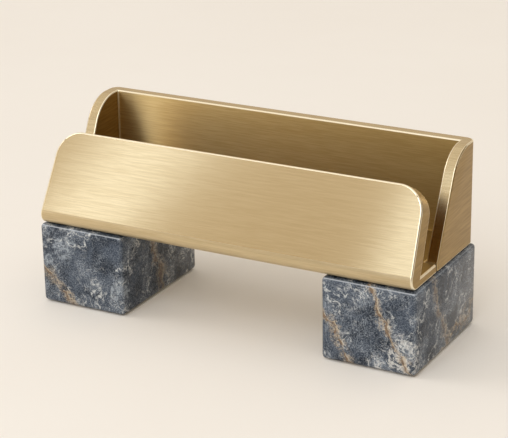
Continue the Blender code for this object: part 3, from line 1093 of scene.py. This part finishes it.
LEFT_VEINS = (((0.72, 0.0, 0.69), -30.3, 0.5, 0.85),
              ((0.0, 0.94, 0.34), 2.1, 0.7, 0.55),
              ((0.0, 0.68, 0.73), 16.0, 0.4, 0.3))
LEFT_PATCHES = (((-45.8, -18.0, 16.5), 6.0), ((-51.0, -18.0, 12.0), 3.5),
                ((-29.0, -18.0, 7.0), 5.5))
RIGHT_VEINS = (((0.87, -0.10, 0.49), 46.3, 0.32, 1.0),
               ((0.85, 0.05, 0.52), 30.0, 0.38, 1.0),
               ((0.0, 0.905, 0.426), 1.7, 0.45, 0.6))
RIGHT_PATCHES = (((49.5, -19.5, 5.5), 8.5), ((43.5, -18.0, 1.5), 6.0))
marbles = {
    "left": marble("left_marble", (11.0, 3.0, 7.0), LEFT_VEINS, LEFT_PATCHES,
                   cloud=(0.36, 0.405, 0.45)),
    "right": marble("right_marble", (61.0, -14.0, 29.0), RIGHT_VEINS, RIGHT_PATCHES,
                    cloud=(0.84, 0.83, 0.80)),
}
for side, material in marbles.items():
    print(side, "marble is a network of", len(material.node_tree.nodes), "nodes")

# %% [markdown]
# The feet are square blocks, sawn, polished and eased along their arrises. They could be drawn
# again as cubes with a bevel, but the CAD shapes have those rounded arrises and the bores for the
# screws already. A copy of each is merged, because the CAD meshes are loose triangles, and then
# shaded smoothly up to the sharp rims of the bores.

# %% The stone feet
SAME_FLAT = math.radians(0.5)


def polish_copy(name, source, material):
    """A merged, smoothly shaded copy of a CAD node, standing for it."""
    shape = bmesh.new()
    shape.from_mesh(nodes[source].data)
    bmesh.ops.remove_doubles(shape, verts=shape.verts, dist=SAME_PLACE)
    bmesh.ops.dissolve_limit(shape, angle_limit=SAME_FLAT, verts=shape.verts,
                             edges=shape.edges)
    mesh = bpy.data.meshes.new(name)
    shape.to_mesh(mesh)
    shape.free()
    mesh.shade_smooth()
    mesh.set_sharp_from_angle(angle=ROUND_FACETS)
    mesh.materials.append(material)
    return add_piece(name, mesh, source)


for side, material in marbles.items():
    foot = polish_copy(side + "_marble_foot", side + "_stone_foot", material)
    print(foot.name, len(foot.data.polygons), "faces")

# %% [markdown]
# The small parts hold the holder together and keep it from slipping: rubber pads, steel screws
# and washers, and brass bosses. They could be modelled again with threads, but nobody sees them
# from the front, and the CAD shapes are right. They only get their finishes.

# %% Rubber
RUBBER_BLACK = (0.016, 0.016, 0.017)
RUBBER_DUSTY = (0.034, 0.033, 0.032)
RUBBER_ROUGH = (0.62, 0.85)
RUBBER_GRAIN = 0.05 * MM
RUBBER_BUMP = 0.3


def dusty_rubber():
    """Black rubber with a fine grain and a grey bloom of dust."""
    material, shader = new_material("dusty_rubber")
    grain = noise(material, placed(material), scale=3200, detail=3.0, roughness=0.6)
    bloom = noise(material, placed(material), scale=180, detail=3.0)
    dusty = mix(material, remap(material, bloom, 0.4, 0.7), RUBBER_BLACK, RUBBER_DUSTY)
    link(material, dusty, shader.inputs["Base Color"])
    link(material, remap(material, grain, *NOISE_RANGE, *RUBBER_ROUGH),
         shader.inputs["Roughness"])
    add_bump(material, shader, grain, RUBBER_BUMP, RUBBER_GRAIN)
    return material


rubber = dusty_rubber()
print(rubber.name, "has a grain", round(RUBBER_GRAIN / MM, 3), "mm deep")

# %% Turned steel and brass
RINGS = (120, 120, 6000)
SMOOTHER = 0.06
ROUGHER = 0.08


def turned_metal(name, bright, dull, roughness):
    """Metal off a lathe: fine rings, drawn as noise that is flat along Z."""
    material, shader = new_material(name)
    rings = noise(material, placed(material, stretch=RINGS), 1.0)
    wear = noise(material, placed(material), scale=700, detail=3.0)
    link(material, mix(material, remap(material, wear, 0.35, 0.65), dull, bright),
         shader.inputs["Base Color"])
    link(material, remap(material, rings, *NOISE_RANGE, roughness - SMOOTHER,
                         roughness + ROUGHER), shader.inputs["Roughness"])
    shader.inputs["Metallic"].default_value = 1.0
    return material


steel = turned_metal("turned_steel", (0.60, 0.60, 0.61), (0.50, 0.50, 0.52), 0.28)
plain_brass = turned_metal("turned_brass", (0.72, 0.55, 0.27), (0.62, 0.46, 0.22), 0.34)
print("turned metals:", steel.name, plain_brass.name)

# %% Dress the small parts
DRESS = {"pad": rubber, "screw": steel, "washer": steel, "boss": plain_brass}
for name, carried in nodes.items():
    material = DRESS.get(name.split("_")[-1])
    if material:
        for place in carried.material_slots:
            place.link = "OBJECT"
            place.material = material
        print(name, "wears", material.name)

# %% [markdown]
# The holder stands on a pale matt surface that runs out of the picture. A plane with an edge and a
# backdrop would need lining up with the camera, while a wide disc looks the same from every side.
# Its faint glow keeps the shadows as light as they are on a real table, where the whole room
# throws light back.

# %% The floor
FLOOR_COLOUR = (0.82, 0.795, 0.762)
FLOOR_SHADE = (0.805, 0.775, 0.74)
FLOOR_GLOW = (0.060, 0.050, 0.036)
FLOOR_ROUGH = 0.9
FLOOR_SPECULAR = 0.1
FLOOR_RADIUS = 1.6
FLOOR_SIDES = 96
DUST_SHARE = 0.5


def pale_floor():
    """A matt surface with the faintest clouds and dust."""
    material, shader = new_material("pale_floor")
    cloudy = noise(material, placed(material), scale=9.0, detail=4.0, roughness=0.6)
    dust = noise(material, placed(material), scale=1400.0, roughness=0.6)
    tone = mix(material, remap(material, cloudy, *NOISE_RANGE), FLOOR_COLOUR, FLOOR_SHADE)
    dusty = product(material, remap(material, dust, *NOISE_RANGE), DUST_SHARE)
    link(material, mix(material, dusty, tone, FLOOR_SHADE), shader.inputs["Base Color"])
    shader.inputs["Roughness"].default_value = FLOOR_ROUGH
    shader.inputs["Specular IOR Level"].default_value = FLOOR_SPECULAR
    shader.inputs["Emission Color"].default_value = (*FLOOR_GLOW, 1.0)
    shader.inputs["Emission Strength"].default_value = 1.0
    return material


def build_floor():
    """A disc under the holder, which belongs to the stage and not to the part."""
    shape = bmesh.new()
    bmesh.ops.create_circle(shape, cap_ends=True, segments=FLOOR_SIDES, radius=FLOOR_RADIUS)
    mesh = bpy.data.meshes.new("floor")
    shape.to_mesh(mesh)
    shape.free()
    mesh.materials.append(pale_floor())
    floor = bpy.data.objects.new("floor", mesh)
    bpy.context.scene.collection.objects.link(floor)
    floor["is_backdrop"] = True


build_floor()
print("the floor is", 2 * FLOOR_RADIUS, "m across")

# %% [markdown]
# Polished metal shows the room rather than itself, so the world matters as much as the lamps. A
# picture of a studio would do, but it would bring lights that nobody chose. This world is a soft
# dome that is brighter overhead than at the horizon, as a room with a white ceiling is. It is dark
# low on the right, and low in front it goes from a warm glow on the left to dusk on the right.

# %% The world
HORIZON = (0.72, 0.63, 0.515)
ZENITH = (0.98, 0.93, 0.86)
SHADE = (0.14, 0.13, 0.12)
GLOW = (1.12, 0.96, 0.75)
DUSK = (0.34, 0.30, 0.25)
CEILING_Z = (0.35, 1.0)
SHADE_Z = (0.40, 0.85)
SHADE_X = (0.30, 0.75)
BAND_Z = (0.14, 0.34)
BAND_Y = (-0.6, -0.3)
BAND_X = (-0.60, -0.38)


def build_world():
    """Paint the dome by the direction of view, whose X, Y and Z run from -1 to 1."""
    world = bpy.data.worlds.new("soft_dome")
    bpy.context.scene.world = world
    world.use_nodes = True
    axes = axes_of(world, "Generated")
    dome = mix(world, remap(world, axes["Z"], *CEILING_Z), HORIZON, ZENITH)
    low = remap(world, axes["Z"], *SHADE_Z, 1.0, 0.0)
    right = remap(world, axes["X"], *SHADE_X)
    dome = mix(world, product(world, low, right), dome, SHADE)
    lowest = remap(world, axes["Z"], *BAND_Z, 1.0, 0.0)
    ahead = remap(world, axes["Y"], *BAND_Y, 1.0, 0.0)
    low_band = mix(world, remap(world, axes["X"], *BAND_X), GLOW, DUSK)
    dome = mix(world, product(world, lowest, ahead), dome, low_band)
    link(world, dome, world.node_tree.nodes["Background"].inputs["Color"])
    print(world.name, "is a network of", len(world.node_tree.nodes), "nodes")


build_world()

# %% [markdown]
# Lamps show in satin brass as soft bands. Small hard lamps would draw sharp spots on it, so all
# four are softboxes: two tall cool strips on the left that streak the lip's front, a broad one in
# front like a window, and a large white one far out on the left. Each is given a brightness, so
# that it keeps its look when its size is tuned.

# %% The lamps
AIM = Vector((0, 0, 30)) * MM
COOL = (0.66, 0.80, 1.0)
FRESH = (0.94, 0.97, 1.0)
WHITE = (1, 1, 1)


def softbox(name, direction, distance, width, height, brightness, colour):
    """A rectangular lamp at a distance in a direction, facing the holder."""
    data = bpy.data.lights.new(name, "AREA")
    data.shape = "RECTANGLE"
    data.size = width
    data.size_y = height
    data.color = colour
    data.energy = brightness * math.pi * width * height
    lamp = bpy.data.objects.new(name, data)
    bpy.context.scene.collection.objects.link(lamp)
    towards = Vector(direction).normalized()
    lamp.matrix_world = (Matrix.Translation(AIM + towards * distance)
                         @ towards.to_track_quat("Z", "Y").to_matrix().to_4x4())
    print(name, "gives", round(data.energy, 2), "W")


softbox("strip_left", (-0.537, -0.74, 0.52), distance=1.0, width=0.07, height=0.7,
        brightness=1.22, colour=COOL)
softbox("strip_right", (-0.245, -0.84, 0.54), distance=1.0, width=0.20, height=0.7,
        brightness=1.08, colour=COOL)
softbox("fill_front", (0.08, -0.76, 0.65), distance=1.5, width=0.85, height=1.0,
        brightness=2.5, colour=FRESH)
softbox("key_left", (-0.80, -0.25, 0.60), distance=3.0, width=1.3, height=1.3,
        brightness=2.9, colour=WHITE)

# %% [markdown]
# The dressed holder has to fit the CAD model's box, or it would no longer be the same part. The
# two could be compared by eye, but numbers show a tenth of a millimetre. The box of the dressed
# holder is measured and printed.

# %% Measure the visual box
low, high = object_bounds()
print("visual box in mm:", [round(value / MM, 2) for value in (high - low)])
